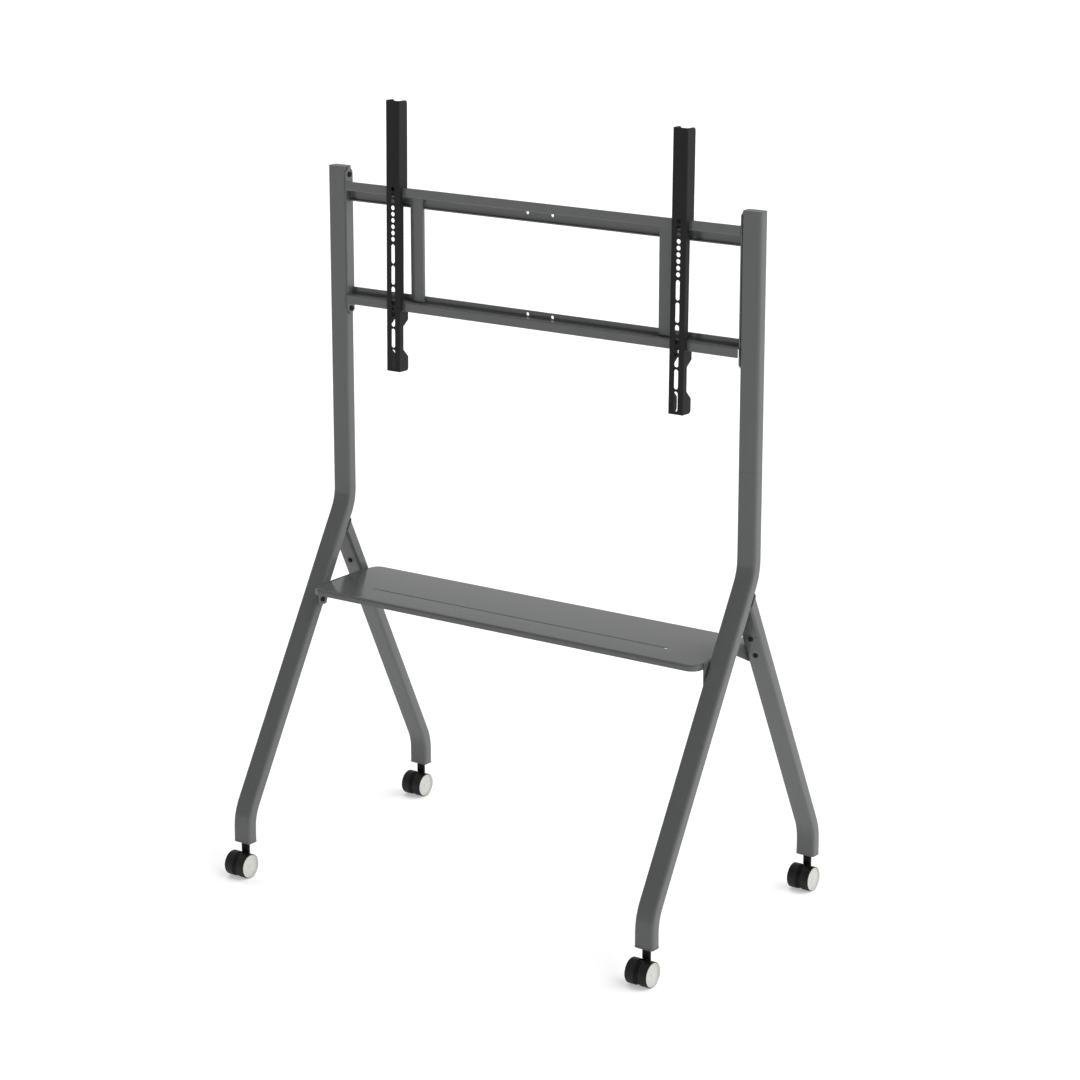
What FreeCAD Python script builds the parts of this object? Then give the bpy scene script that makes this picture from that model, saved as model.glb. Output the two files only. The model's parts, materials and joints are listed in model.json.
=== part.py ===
"""Mobile TV stand: two bent-leg side frames joined by rails and a shelf, on four casters.

Millimetres and degrees. +X is to the viewer's right, the screen faces -Y and +Z is up. The origin
lies on the floor, at the middle of the stand's footprint.
"""
import FreeCAD, Part
import math
import os
import re

import Sketcher
from FreeCAD import Placement, Rotation, Vector

SIZES = {
    # Side frames, of rectangular tube
    "frame_spacing": 1160,
    "tube_width": 50,
    "tube_depth": 30,
    "tube_wall": 2,
    "tube_corner": 7,
    "bend_radius": 120,
    "post_top": 1677,
    "post_seam": 1090,
    "knee_height": 855,
    "front_ankle": 152,
    "front_reach": 410,
    "rear_root": 811,
    "rear_ankle": 150,
    "rear_reach": 297,
    "leg_seam": 707,
    "foot_bottom": 87,
    # Joint sleeves inside the tubes
    "sleeve_wall": 2.5,
    "sleeve_clearance": 0.15,
    "post_sleeve_reach": 110,
    "leg_sleeve_up": 60,
    "leg_sleeve_down": 70,
    # Plastic ends of the tubes
    "cap_thickness": 3,
    "cap_edge": 1.5,
    "cap_depth": 9,
    "plug_flange": 4,
    "plug_proud": 0.6,
    "plug_edge": 2.5,
    "plug_depth": 28,
    "plug_clearance": 0.15,
    # Screws, all of one thread
    "screw_radius": 3,
    "screw_clearance": 0.3,
    "thread_clearance": 0.05,
    "frame_head_radius": 6.5,
    "leg_head_radius": 6,
    "head_height": 3.5,
    "head_edge": 1.2,
    "socket_radius": 2.3,
    "socket_depth": 2,
    "leg_bolt_drop": 8,
    "leg_bolt_pitch": 50,
    "leg_bolt_length": 12,
    "insert_radius": 4.5,
    "insert_bulge": 1.4,
    "insert_length": 13,
    "insert_grip": 4,
    "screw_end_room": 2,
    # Rails, of folded sheet
    "rail_sheet": 3,
    "rail_step": 21,
    "rail_lip": 23,
    "rail_fold": 1,
    "lower_lead": 4,
    "upper_rail_top": 1645,
    "upper_band": 25,
    "return_depth": 8,
    "lower_rail_bottom": 1349,
    "lower_band": 15,
    "rail_hole_radius": 4.25,
    "rail_hole_spacing": 70,
    "rail_hole_inset": 29,
    # Uprights between the rails
    "upright_spacing": 700,
    "upright_width": 37,
    "upright_depth": 8,
    "upright_sheet": 2,
    "upright_gap": 1.5,
    # End plates that carry the rails
    "plate_thickness": 3.5,
    "plate_width": 26,
    "plate_bottom": 1321,
    "plate_chamfer": 10,
    "plate_bolt_top": 17,
    "plate_bolt_bottom": 13.5,
    # Mounting arms
    "arm_spacing": 800,
    "arm_top": 1850,
    "arm_below": 146,
    "arm_width": 39,
    "arm_sheet": 2,
    "arm_stand_off": 13,
    "arm_deep": 32,
    "arm_tooth": 14,
    "arm_bulge": 34,
    "arm_bulge_height": 21,
    "arm_taper": 15,
    "arm_narrow": 15,
    "arm_between": 17,
    "arm_tail": 34,
    "arm_tail_taper": 19,
    "arm_corner": 8,
    "arm_gap": 0.5,
    "arm_rest_gap": 0.1,
    "arm_lift_gap": 1,
    "arm_hole_radius": 5.5,
    "arm_hole_top": 1642,
    "arm_hole_pitch": 15,
    "arm_hole_count": 9,
    "arm_slot_margin": 7,
    "arm_slot_length": 46,
    "arm_slot_pitch": 50.8,
    "arm_slot_count": 6,
    # Lock under the lower rail
    "lock_bar_sheet": 2.5,
    "lock_bar_drop": 12,
    "lock_screw_gap": 0.5,
    "lock_screw_bite": 12,
    "lock_head_radius": 5.5,
    "lock_head_height": 4,
    # Shelf and its brackets
    "shelf_top": 671,
    "shelf_front": 176,
    "shelf_rear": 82,
    "shelf_lip": 14.5,
    "shelf_sheet": 2.5,
    "shelf_corner": 27,
    "shelf_fold": 6,
    "shelf_slot_length": 846,
    "shelf_slot_width": 6.2,
    "shelf_slot_end": 5.2,
    "shelf_slot_reach": 92,
    "bracket_thickness": 3,
    "bracket_web": 18,
    "bracket_ear": 14,
    "bracket_slope": 12,
    "bracket_rear_slope": 63,
    "front_bolt_height": 632,
    "front_ear_drop": 13,
    "rear_bolt_height": 636,
    "rear_ear_drop": 21,
    # Casters
    "wheel_radius": 30,
    "wheel_width": 24,
    "wheel_shoulder": 4,
    "wheel_edge": 1.4,
    "wheel_gap": 9,
    "wheel_side_gap": 0.5,
    "caster_trail": 17.5,
    "cover_radius": 28,
    "cover_fit": 0.1,
    "cover_depth": 4,
    "cover_proud": 0.5,
    "cover_rim": 1.5,
    "cover_edge": 0.8,
    "cover_slope": 3.5,
    "cover_dish": 3,
    "cover_boss": 5,
    "cover_boss_height": 0.7,
    "axle_radius": 4,
    "axle_clearance": 0.05,
    "axle_end_gap": 0.3,
    "hood_gap": 1,
    "hood_web_radius": 28,
    "neck_radius": 10,
    "neck_edge": 1,
    "stem_radius": 5.5,
    "stem_clearance": 0.06,
    "stem_rise": 24,
    "stem_collar": 2,
    "stem_collar_radius": 9,
    "stem_end_gap": 0.3,
    "socket_floor": 62,
    # How far a cutting shape runs past the face that it cuts
    "overrun": 5,
}

# Two coordinates closer than this are the same place
SAME_PLACE = 0.001
HEX_SIDES = 6

document = FreeCAD.newDocument("TvStand")
sheet = document.addObject("Spreadsheet::Sheet", "Sizes")
for row, (alias, value) in enumerate(SIZES.items(), start=1):
    sheet.set(f"A{row}", alias)
    sheet.set(f"B{row}", str(value))
    sheet.setAlias(f"B{row}", alias)
document.recompute()

# Places that several pieces share, written with the names in the sheet
FRONT_LEAN = "atan(front_reach / (knee_height - front_ankle))"
REAR_ROOT_REACH = f"(knee_height - rear_root) * tan({FRONT_LEAN})"
REAR_LEAN = f"atan((rear_reach + {REAR_ROOT_REACH}) / (rear_root - rear_ankle))"
POST_Y = "((front_reach - rear_reach) / 2 + caster_trail)"
POST_X = "frame_spacing / 2"
INNER_FACE = "(frame_spacing - tube_width) / 2"
SEAM_Y = f"({POST_Y} + rear_reach - (leg_seam - rear_ankle) * tan({REAR_LEAN}))"
FRONT_BOLT_Y = f"({POST_Y} - (knee_height - front_bolt_height) * tan({FRONT_LEAN}))"
REAR_BOLT_Y = f"({POST_Y} + rear_reach - (rear_bolt_height - rear_ankle) * tan({REAR_LEAN}))"
PLUG_BOTTOM = "(foot_bottom - plug_flange)"
RAIL_FRONT = f"({POST_Y} - tube_depth / 2)"
ARM_BOTTOM = "(lower_rail_bottom - arm_below)"
ARM_SLOTS = "arm_slot_pitch * (arm_slot_count - 1)"
ARM_SLOT_TOP = f"({ARM_BOTTOM} + arm_slot_margin + arm_slot_length + {ARM_SLOTS})"
ARM_LEAN = "asin(lower_lead / (upper_rail_top - lower_rail_bottom))"
NECK_TOP = f"({PLUG_BOTTOM} - stem_collar - stem_end_gap)"

parts = []


def formula(text):
    """Give every name in the text its place in the sheet, except the functions' names."""
    return re.sub(r"\b([a-z][a-z_]*)\b(?!\()", r"Sizes.\1", text)


def number(text):
    """Work a formula out as a plain number of millimetres or degrees."""
    result = sheet.evalExpression(formula(text))
    return float(getattr(result, "Value", result))


def bind(item, **settings):
    """Set properties of an object to formulas of the sheet."""
    for key, text in settings.items():
        item.setExpression(key, formula(text))


def place(item, x="0", y="0", z="0", turn="0", axis=Vector(1, 0, 0)):
    """Put an object at a place given by formulas, turned about an axis."""
    item.Placement = Placement(
        Vector(number(x), number(y), number(z)), Rotation(axis, number(turn))
    )
    for key, text in (("Base.x", x), ("Base.y", y), ("Base.z", z)):
        item.setExpression(f"Placement.{key}", formula(text))
    if turn != "0":
        item.setExpression("Placement.Rotation.Angle", formula(turn))


def add_body(label, **where):
    """Start a sub-part's body and put it in its place."""
    body = document.addObject("PartDesign::Body", label)
    body.Label = label
    place(body, **where)
    parts.append(body)
    return body


def add_sketch(body, name, role, offset="0"):
    """Add a sketch on one of the body's own origin planes, moved along its normal."""
    sketch = body.newObject("Sketcher::SketchObject", name)
    plane = [item for item in body.Origin.OriginFeatures if item.Role == role][0]
    sketch.AttachmentSupport = (plane, [""])
    sketch.MapMode = "FlatFace"
    if offset != "0":
        sketch.AttachmentOffset = Placement(Vector(0, 0, number(offset)), Rotation())
        sketch.setExpression("AttachmentOffset.Base.z", formula(offset))
    document.recompute()
    return sketch


def constrain(sketch, name, text, kind, *items):
    """Add a constraint whose size is a formula."""
    index = sketch.addConstraint(Sketcher.Constraint(kind, *items, number(text)))
    sketch.renameConstraint(index, name)
    sketch.setExpression(f"Constraints.{name}", formula(text))


def hold(sketch, item, end, x, y):
    """Hold a point of the sketch at a place given by two formulas."""
    constrain(sketch, f"across_{item}_{end}", x, "DistanceX", -1, 1, item, end)
    constrain(sketch, f"up_{item}_{end}", y, "DistanceY", -1, 1, item, end)


def polygon(sketch, corners):
    """Draw a closed outline through the corners."""
    points = [Vector(number(x), number(y), 0) for x, y in corners]
    first = sketch.GeometryCount
    for index, point in enumerate(points):
        after = points[(index + 1) % len(points)]
        sketch.addGeometry(Part.LineSegment(point, after), False)
    for index, (x, y) in enumerate(corners):
        before = first + (index - 1) % len(points)
        sketch.addConstraint(Sketcher.Constraint("Coincident", before, 2, first + index, 1))
        hold(sketch, first + index, 1, x, y)


def rectangle(sketch, x0, y0, x1, y1):
    """Draw a rectangle between two corners."""
    polygon(sketch, [(x0, y0), (x1, y0), (x1, y1), (x0, y1)])


def circle(sketch, radius, x="0", y="0"):
    """Draw a circle."""
    centre = Vector(number(x), number(y), 0)
    item = sketch.addGeometry(Part.Circle(centre, Vector(0, 0, 1), number(radius)), False)
    hold(sketch, item, 3, x, y)
    constrain(sketch, f"radius_{item}", radius, "Radius", item)


def rounded_rectangle(sketch, width, depth, corner, y="0"):
    """Draw a rectangle with round corners, centred across and at height y."""
    centres, radius = [], number(corner)
    for side, up in ((1, 1), (-1, 1), (-1, -1), (1, -1)):
        across = f"{side} * (({width}) / 2 - ({corner}))"
        height = f"{y} + {up} * (({depth}) / 2 - ({corner}))"
        centres.append((across, height))
    first = sketch.GeometryCount
    for index, (across, height) in enumerate(centres):
        centre = Vector(number(across), number(height), 0)
        start = math.radians(90 * index)
        ring = Part.Circle(centre, Vector(0, 0, 1), radius)
        sketch.addGeometry(Part.ArcOfCircle(ring, start, start + math.pi / 2), False)
    for index in range(4):
        start = sketch.getPoint(first + index, 2)
        end = sketch.getPoint(first + (index + 1) % 4, 1)
        line = sketch.addGeometry(Part.LineSegment(start, end), False)
        sketch.addConstraint(Sketcher.Constraint("Tangent", first + index, 2, line, 1))
        after = first + (index + 1) % 4
        sketch.addConstraint(Sketcher.Constraint("Tangent", line, 2, after, 1))
    for index, (across, height) in enumerate(centres):
        hold(sketch, first + index, 3, across, height)
        constrain(sketch, f"radius_{first + index}", corner, "Radius", first + index)


def slot(sketch, radius, x0, y0, x1, y1):
    """Draw a straight slot with round ends between two centres."""
    start = Vector(number(x0), number(y0), 0)
    end = Vector(number(x1), number(y1), 0)
    along = math.atan2(end.y - start.y, end.x - start.x)
    size = number(radius)
    quarter = math.pi / 2
    first = sketch.GeometryCount
    for centre, angle in ((start, along + quarter), (end, along - quarter)):
        ring = Part.Circle(centre, Vector(0, 0, 1), size)
        sketch.addGeometry(Part.ArcOfCircle(ring, angle, angle + math.pi), False)
    for one, other in ((first, first + 1), (first + 1, first)):
        line = sketch.addGeometry(
            Part.LineSegment(sketch.getPoint(one, 2), sketch.getPoint(other, 1)), False
        )
        sketch.addConstraint(Sketcher.Constraint("Tangent", one, 2, line, 1))
        sketch.addConstraint(Sketcher.Constraint("Tangent", line, 2, other, 1))
    hold(sketch, first, 3, x0, y0)
    hold(sketch, first + 1, 3, x1, y1)
    constrain(sketch, f"radius_{first}", radius, "Radius", first)


def bent_path(sketch, corners, radius):
    """Draw an open path along straight runs, with a tangent arc at each inner corner."""
    points = [Vector(number(x), number(y), 0) for x, y in corners]
    size = number(radius)
    guides = []
    for start, end in zip(points, points[1:]):
        guides.append(sketch.addGeometry(Part.LineSegment(start, end), True))
    for index, guide in enumerate(guides):
        hold(sketch, guide, 1, *corners[index])
        if index:
            joint = Sketcher.Constraint("Coincident", guides[index - 1], 2, guide, 1)
            sketch.addConstraint(joint)
    hold(sketch, guides[-1], 2, *corners[-1])
    ends, arcs = [points[0]], []
    for before, corner, after in zip(points, points[1:], points[2:]):
        back = (before - corner).normalize()
        onward = (after - corner).normalize()
        half = back.getAngle(onward) / 2
        run = size / math.tan(half)
        middle = corner + (back + onward).normalize() * (size / math.sin(half) - size)
        ends += [corner + back * run, corner + onward * run]
        arcs.append(Part.Arc(ends[-2], middle, ends[-1]))
    ends.append(points[-1])
    lines = []
    for start, end in zip(ends[::2], ends[1::2]):
        lines.append(sketch.addGeometry(Part.LineSegment(start, end), False))
    for index, arc in enumerate(arcs):
        item = sketch.addGeometry(arc, False)
        starts = (sketch.getPoint(item, 1) - ends[2 * index + 1]).Length < size / 10
        first, last = (1, 2) if starts else (2, 1)
        tangent = Sketcher.Constraint("Tangent", lines[index], 2, item, first)
        sketch.addConstraint(tangent)
        tangent = Sketcher.Constraint("Tangent", item, last, lines[index + 1], 1)
        sketch.addConstraint(tangent)
        constrain(sketch, f"radius_{item}", radius, "Radius", item)
    sketch.addConstraint(Sketcher.Constraint("Coincident", lines[0], 1, guides[0], 1))
    sketch.addConstraint(Sketcher.Constraint("Coincident", lines[-1], 2, guides[-1], 2))
    for index, line in enumerate(lines):
        if index:
            sketch.addConstraint(Sketcher.Constraint("PointOnObject", line, 1, guides[index]))
        if index < len(lines) - 1:
            sketch.addConstraint(Sketcher.Constraint("PointOnObject", line, 2, guides[index]))


def pad(body, sketch, length, both=False, back=False):
    """Raise a sketch into a solid, on both sides of its plane or backwards if asked."""
    feature = body.newObject("PartDesign::Pad", f"{sketch.Name}_pad")
    feature.Profile = sketch
    feature.SideType = "Symmetric" if both else "One side"
    feature.Reversed = back
    feature.Length = number(length)
    bind(feature, Length=length)
    document.recompute()
    return feature


def pocket(body, sketch, length, both=False, back=False):
    """Cut a sketch out of the body, and make sure that it took something away."""
    before = body.Shape.Volume
    feature = body.newObject("PartDesign::Pocket", f"{sketch.Name}_cut")
    feature.Profile = sketch
    feature.SideType = "Symmetric" if both else "One side"
    feature.Reversed = back
    feature.Length = number(length)
    bind(feature, Length=length)
    document.recompute()
    if not feature.Shape.Volume < before:
        raise RuntimeError(f"{feature.Name} cuts nothing")
    return feature


def revolve(body, sketch, axis):
    """Turn a sketch right round one of its own axes."""
    feature = body.newObject("PartDesign::Revolution", f"{sketch.Name}_turn")
    feature.Profile = sketch
    feature.ReferenceAxis = (sketch, [axis])
    feature.Angle = 360
    document.recompute()
    return feature


def sweep(body, profile, path):
    """Sweep a profile along a path."""
    feature = body.newObject("PartDesign::AdditivePipe", f"{profile.Name}_sweep")
    feature.Profile = profile
    feature.Spine = (path, [])
    document.recompute()
    return feature


def edges_where(feature, test):
    """Name the edges of a feature for which a test of their middle point and edge is true."""
    names = []
    for index, edge in enumerate(feature.Shape.Edges, start=1):
        middle = edge.valueAt((edge.FirstParameter + edge.LastParameter) / 2)
        if test(middle, edge):
            names.append(f"Edge{index}")
    if not names:
        raise RuntimeError(f"{feature.Name} has no such edge")
    return names


def near(value, text):
    """Tell whether a coordinate lies at a place of the sheet."""
    return abs(value - number(text)) < SAME_PLACE


def soften(body, base, test, size, kind="Fillet"):
    """Round or chamfer the edges that a test picks."""
    feature = body.newObject(f"PartDesign::{kind}", f"{base.Name}_edge")
    feature.Base = (base, edges_where(base, test))
    key = "Radius" if kind == "Fillet" else "Size"
    setattr(feature, key, number(size))
    bind(feature, **{key: size})
    document.recompute()
    return feature


def repeat(body, feature, sketch, axis, length, count):
    """Repeat a cut along an axis of its sketch."""
    pattern = body.newObject("PartDesign::LinearPattern", f"{feature.Name}_row")
    pattern.Originals = [feature]
    pattern.Direction = (sketch, [axis])
    pattern.Reversed = True
    bind(pattern, Length=length, Occurrences=count)
    body.Tip = pattern
    document.recompute()
    return pattern


def add_copies(label, shape, places):
    """Make one sub-part of several alike solids, each at its own place."""
    group = document.addObject("Part::Feature", label)
    group.Label = label
    solids = [solid for item in places for solid in shape.transformed(item.toMatrix()).Solids]
    group.Shape = Part.makeCompound(solids)
    parts.append(group)
    return group


def spot(x, y, z, rotation=Rotation()):
    """A placement at a place given by formulas."""
    return Placement(Vector(number(x), number(y), number(z)), rotation)


def tube_profile(sketch):
    """Draw the tube's section."""
    rounded_rectangle(sketch, "tube_width", "tube_depth", "tube_corner")
    rounded_rectangle(
        sketch,
        "tube_width - 2 * tube_wall",
        "tube_depth - 2 * tube_wall",
        "tube_corner - tube_wall",
    )


def insert_hole(body, name, height, across="0", side=1):
    """Cut the hole of a threaded insert through the tube wall that faces the middle."""
    sketch = add_sketch(body, name, "YZ_Plane", f"{-side} * tube_width / 2")
    circle(sketch, "insert_radius + screw_clearance", across, height)
    pocket(body, sketch, "tube_wall + overrun", back=side > 0)


def post(side, label):
    """Upper post: plain tube from the seam up, with two holes for the end plate's bolts."""
    body = add_body(label, x=f"{side} * {POST_X}", y=POST_Y, z="post_seam")
    section = add_sketch(body, "section", "XY_Plane")
    tube_profile(section)
    pad(body, section, "post_top - post_seam")
    insert_hole(body, "top_hole", "post_top - plate_bolt_top - post_seam", side=side)
    insert_hole(body, "low_hole", "plate_bottom + plate_bolt_bottom - post_seam", side=side)


def front_leg(side, label):
    """Front leg: down from the post's seam, forward at the knee, upright again at the ankle."""
    body = add_body(label, x=f"{side} * {POST_X}", y=POST_Y, z="post_seam")
    section = add_sketch(body, "section", "XY_Plane")
    tube_profile(section)
    path = add_sketch(body, "path", "YZ_Plane")
    corners = [
        ("0", "0"),
        ("0", "knee_height - post_seam"),
        ("-front_reach", "front_ankle - post_seam"),
        ("-front_reach", "foot_bottom - post_seam"),
    ]
    bent_path(path, corners, "bend_radius")
    sweep(body, section, path)
    height = "front_bolt_height - post_seam"
    insert_hole(body, "shelf_hole", height, f"{FRONT_BOLT_Y} - {POST_Y}", side)


def leg_stub(side, label):
    """Short tube welded to the back of the front leg, in line with the rear leg."""
    body = add_body(label, x=f"{side} * {POST_X}", y=SEAM_Y, z="leg_seam", turn=REAR_LEAN)
    lean = f"({FRONT_LEAN} + {REAR_LEAN})"
    reach = (
        f"((({SEAM_Y} - {POST_Y}) * cos({FRONT_LEAN})"
        f" + (knee_height - leg_seam) * sin({FRONT_LEAN})"
        f" - tube_depth / 2) / sin({lean}))"
    )
    half = "(tube_depth / 2 + overrun)"
    section = add_sketch(body, "section", "XY_Plane")
    tube_profile(section)
    pad(body, section, f"{reach} + {half} / tan({lean})")
    end = add_sketch(body, "end", "YZ_Plane")
    low = f"{reach} - {half} / tan({lean})"
    high = f"{reach} + {half} / tan({lean})"
    polygon(end, [(f"-{half}", low), (half, high), (half, f"{high} + overrun"),
                  (f"-{half}", f"{high} + overrun")])
    pocket(body, end, "tube_width + 2 * overrun", both=True)


def rear_leg(side, label):
    """Rear leg: from the seam straight down and back, upright again at the ankle."""
    body = add_body(label, x=f"{side} * {POST_X}", y=SEAM_Y, z="leg_seam", turn=REAR_LEAN)
    section = add_sketch(body, "section", "XY_Plane")
    tube_profile(section)
    path = add_sketch(body, "path", "YZ_Plane")
    incline = f"(leg_seam - rear_ankle) / cos({REAR_LEAN})"
    drop = "(rear_ankle - foot_bottom)"
    corners = [
        ("0", "0"),
        ("0", f"-{incline}"),
        (f"-{drop} * sin({REAR_LEAN})", f"-{incline} - {drop} * cos({REAR_LEAN})"),
    ]
    bent_path(path, corners, "bend_radius")
    sweep(body, section, path)
    holes = add_sketch(body, "bolt_holes", "XZ_Plane")
    circle(holes, "screw_radius + screw_clearance", "0", "-leg_bolt_drop")
    circle(holes, "screw_radius + screw_clearance", "0", "-leg_bolt_drop - leg_bolt_pitch")
    pocket(body, holes, "tube_depth", back=True)
    along = f"-(leg_seam - rear_bolt_height) / cos({REAR_LEAN})"
    insert_hole(body, "shelf_hole", along, side=side)


def sleeve(below, above, holes=()):
    """Joint sleeve: a smaller tube that fills the seam of two tubes, built about the seam."""
    width = "(tube_width - 2 * tube_wall - 2 * sleeve_clearance)"
    depth = "(tube_depth - 2 * tube_wall - 2 * sleeve_clearance)"
    corner = "(tube_corner - tube_wall - sleeve_clearance)"
    body = document.addObject("PartDesign::Body", "sleeve_pattern")
    section = add_sketch(body, "section", "XY_Plane", f"-({below})")
    rounded_rectangle(section, width, depth, corner)
    inner = f"{width} - 2 * sleeve_wall"
    rounded_rectangle(section, inner, f"{depth} - 2 * sleeve_wall", f"{corner} - sleeve_wall")
    pad(body, section, f"{below} + {above}")
    for index, drop in enumerate(holes):
        hole = add_sketch(body, f"thread_{index}", "XZ_Plane")
        circle(hole, "screw_radius + thread_clearance", "0", f"-({drop})")
        pocket(body, hole, "tube_depth", back=True)
    return body.Shape.copy()


def screw(length, head_radius):
    """Button head screw with a hexagon socket: head above the plane z = 0, shank below."""
    radius, height = number(head_radius), number("head_height")
    head = Part.makeCylinder(radius, height)
    top = [edge for edge in head.Edges if near(edge.CenterOfMass.z, "head_height")]
    head = head.makeFillet(number("head_edge"), top)
    shank = Part.makeCylinder(number("screw_radius"), number(length), Vector(), Vector(0, 0, -1))
    depth = number("socket_depth")
    corners = [
        Vector(number("socket_radius"), 0, height - depth),
    ]
    turn = Rotation(Vector(0, 0, 1), 360 / HEX_SIDES)
    for _ in range(HEX_SIDES):
        corners.append(turn.multVec(corners[-1]))
    socket = Part.Face(Part.makePolygon(corners)).extrude(Vector(0, 0, depth))
    return head.fuse(shank).removeSplitter().cut(socket)


def thread_insert():
    """Clinched insert: a bush in the tube's wall with its bulge behind it, built along +Z."""
    radius, length = number("insert_radius"), number("insert_length")
    wall, grip = number("tube_wall"), number("insert_grip")
    bush = Part.makeCylinder(radius, length)
    bulge = Part.makeCylinder(radius + number("insert_bulge"), grip, Vector(0, 0, wall))
    bore = Part.makeCylinder(number("screw_radius + thread_clearance"), length)
    return bush.fuse(bulge).removeSplitter().cut(bore)


def plug(flange, proud, depth, edge, bore=None):
    """Plastic end of a tube: a flange below the plane z = 0 and a shank above it."""
    body = document.addObject("PartDesign::Body", "plug_pattern")
    outer = add_sketch(body, "outer", "XY_Plane")
    rounded_rectangle(outer, f"tube_width + 2 * {proud}", f"tube_depth + 2 * {proud}",
                      f"tube_corner + {proud}")
    base = pad(body, outer, flange, back=True)
    soften(body, base, lambda middle, line: near(middle.z, f"-{flange}"), edge)
    inner = add_sketch(body, "inner", "XY_Plane")
    gap = "2 * tube_wall - 2 * plug_clearance"
    rounded_rectangle(inner, f"tube_width - {gap}", f"tube_depth - {gap}",
                      "tube_corner - tube_wall - plug_clearance")
    pad(body, inner, depth)
    if bore:
        hole = add_sketch(body, "bore", "XY_Plane", f"-{flange} - overrun")
        circle(hole, bore)
        pocket(body, hole, f"{flange} + {depth} + 2 * overrun", back=True)
    return body.Shape.copy()


def frame_small_parts():
    """Sleeves, caps, plugs, bolts and inserts of the side frames."""
    lean = Rotation(Vector(1, 0, 0), number(REAR_LEAN))
    sides = (f"-{POST_X}", POST_X)
    seams = [spot(x, POST_Y, "post_seam") for x in sides]
    add_copies("post_sleeves", sleeve("post_sleeve_reach", "post_sleeve_reach"), seams)
    seams = [spot(x, SEAM_Y, "leg_seam", lean) for x in sides]
    drops = ("leg_bolt_drop", "leg_bolt_drop + leg_bolt_pitch")
    add_copies("leg_sleeves", sleeve("leg_sleeve_down", "leg_sleeve_up", drops), seams)
    over = Rotation(Vector(1, 0, 0), 180)
    caps = [spot(x, POST_Y, "post_top", over) for x in sides]
    add_copies("post_caps", plug("cap_thickness", "0", "cap_depth", "cap_edge"), caps)
    shape = plug("plug_flange", "plug_proud", "plug_depth", "plug_edge",
                 "stem_radius + stem_clearance")
    add_copies("foot_plugs", shape, [spot(x, y, "foot_bottom") for x, y in feet().values()])
    outward = lean.multiply(Rotation(Vector(1, 0, 0), 90))
    bolts = []
    for seam in seams:
        for drop in drops:
            offset = lean.multVec(Vector(0, -number("tube_depth") / 2, -number(drop)))
            bolts.append(Placement(seam.Base + offset, outward))
    add_copies("leg_bolts", screw("leg_bolt_length", "leg_head_radius"), bolts)


def feet():
    """Places of the four feet, by the names of their casters."""
    front, rear = f"{POST_Y} - front_reach", f"{POST_Y} + rear_reach"
    return {
        "front_left": (f"-{POST_X}", front),
        "front_right": (POST_X, front),
        "rear_left": (f"-{POST_X}", rear),
        "rear_right": (POST_X, rear),
    }


def side_bolts():
    """Bolts along X that hold the end plates and the shelf brackets, with their inserts."""
    towards_middle = {1: Rotation(Vector(0, 1, 0), -90), -1: Rotation(Vector(0, 1, 0), 90)}
    towards_post = {1: towards_middle[-1], -1: towards_middle[1]}
    frame = [(POST_Y, "post_top - plate_bolt_top"), (POST_Y, "plate_bottom + plate_bolt_bottom")]
    shelf = [(FRONT_BOLT_Y, "front_bolt_height"), (REAR_BOLT_Y, "rear_bolt_height")]
    inserts = []
    for label, thickness, points in (
        ("frame_bolts", "plate_thickness", frame),
        ("shelf_bolts", "bracket_thickness", shelf),
    ):
        places = []
        for side in (-1, 1):
            for y, z in points:
                face = f"{side} * ({INNER_FACE} - {thickness})"
                places.append(spot(face, y, z, towards_middle[side]))
                inserts.append(spot(f"{side} * {INNER_FACE}", y, z, towards_post[side]))
        length = f"{thickness} + insert_length - screw_end_room"
        add_copies(label, screw(length, "frame_head_radius"), places)
    add_copies("thread_inserts", thread_insert(), inserts)


def end_plate(side, label):
    """Plate between the rails' ends and the post, with chamfered corners."""
    inner = f"({INNER_FACE} - plate_thickness)"
    start = inner if side > 0 else f"-{INNER_FACE}"
    body = add_body(label, x=start, y=POST_Y, z="plate_bottom")
    outline = add_sketch(body, "outline", "YZ_Plane")
    height = "post_top - plate_bottom"
    rectangle(outline, "-plate_width / 2", "0", "plate_width / 2", height)
    circle(outline, "screw_radius + screw_clearance", "0", "plate_bolt_bottom")
    circle(outline, "screw_radius + screw_clearance", "0", f"{height} - plate_bolt_top")
    base = pad(body, outline, "plate_thickness")

    def corner(middle, edge):
        return near(abs(middle.y), "plate_width / 2") and near(edge.Length, "plate_thickness")

    soften(body, base, corner, "plate_chamfer", "Chamfer")


def rail_length():
    """The rails reach from plate to plate."""
    return f"2 * ({INNER_FACE} - plate_thickness)"


def rail_holes(body, height):
    """Two holes near the middle of the rail's inner band."""
    holes = add_sketch(body, "holes", "XZ_Plane")
    for side in (-1, 1):
        circle(holes, "rail_hole_radius", f"{side} * rail_hole_spacing / 2", height)
    pocket(body, holes, "2 * rail_step + tube_depth", both=True)


def fold_edges(body, base, outer, inner):
    """Round a rail's folds, which run along X, outside and inside."""
    length = rail_length()

    def at(places):
        def test(middle, edge):
            long = near(edge.Length, length)
            return long and any(near(middle.y, y) and near(middle.z, z) for y, z in places)
        return test

    rounded = soften(body, base, at(outer), "rail_fold + rail_sheet")
    return soften(body, rounded, at(inner), "rail_fold")


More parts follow.
